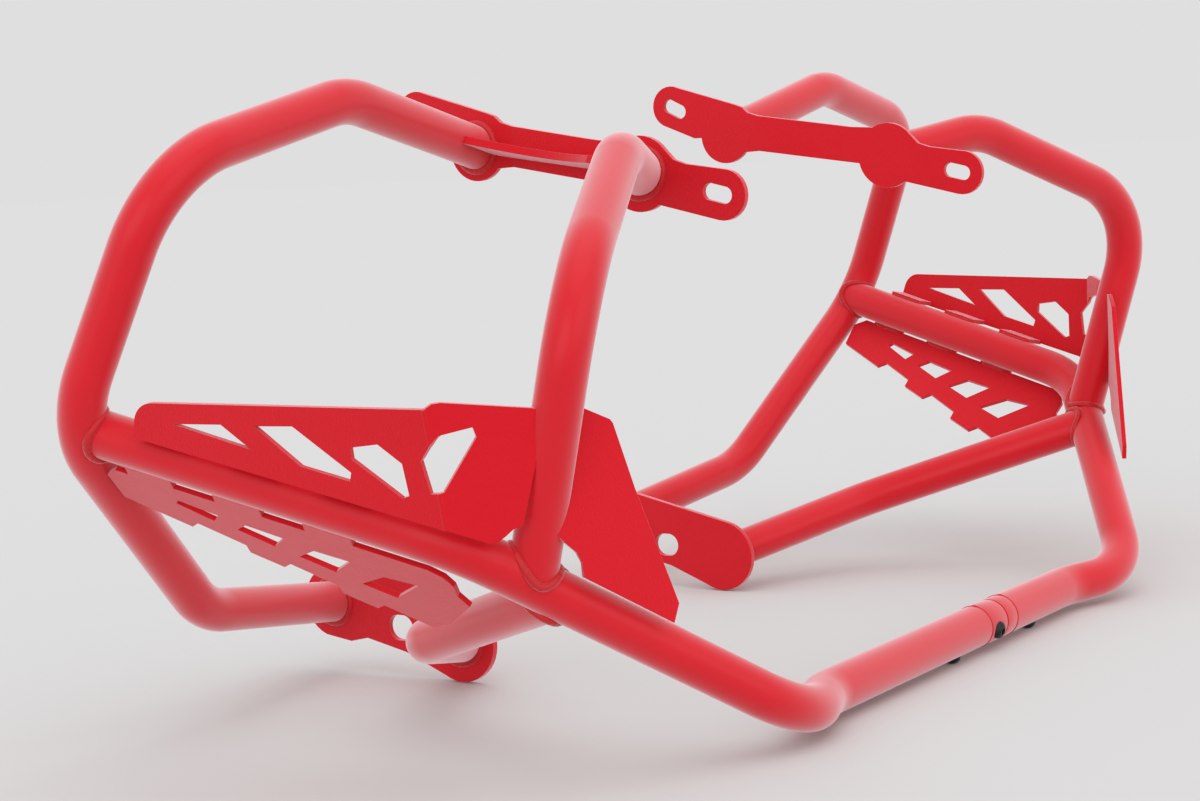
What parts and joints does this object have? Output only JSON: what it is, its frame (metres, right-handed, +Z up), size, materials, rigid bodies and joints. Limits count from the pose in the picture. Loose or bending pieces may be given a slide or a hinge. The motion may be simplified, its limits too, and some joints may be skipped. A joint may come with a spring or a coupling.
{
  "type": "motorcycle crash bars",
  "caption": "Motorcycle engine crash bars: bent tube guards for both sides with slotted guard plates, frame brackets and a bolted lower cross joint.",
  "frame": {"origin": "centre of the bounding box, on the ground that the part rests on", "axes": "+X to the left side of the bike, +Y to its back, +Z up, as the part lies on the ground"},
  "size_m": [0.8838, 0.4048, 0.3652],
  "materials": {
    "powder_coat": "red powder coat with a fine grain",
    "spigot_steel": "bare turned steel, hidden in the tubes",
    "black_bolt": "black zinc-plated steel"
  },
  "bodies": {
    "root": {"left_hoop_tube": "powder_coat", "right_hoop_tube": "powder_coat", "left_front_upright": "powder_coat", "right_front_upright": "powder_coat", "left_main_rail": "powder_coat", "right_main_rail": "powder_coat", "left_lower_brace": "powder_coat", "right_lower_brace": "powder_coat", "left_upper_bracket": "powder_coat", "right_upper_bracket": "powder_coat", "left_bracket_gusset": "powder_coat", "right_bracket_gusset": "powder_coat", "left_lower_mount_plate": "powder_coat", "right_lower_mount_plate": "powder_coat", "left_upper_guard_plate": "powder_coat", "right_upper_guard_plate": "powder_coat", "left_lower_guard_plate": "powder_coat", "right_lower_guard_plate": "powder_coat", "left_corner_plate": "powder_coat", "right_corner_plate": "powder_coat", "left_joint_sleeve": "powder_coat", "right_joint_sleeve": "powder_coat", "joint_spigot": "spigot_steel", "left_lower_bolt": "black_bolt", "right_lower_bolt": "black_bolt", "front_joint_bolt": "black_bolt"}
  },
  "joints": []
}
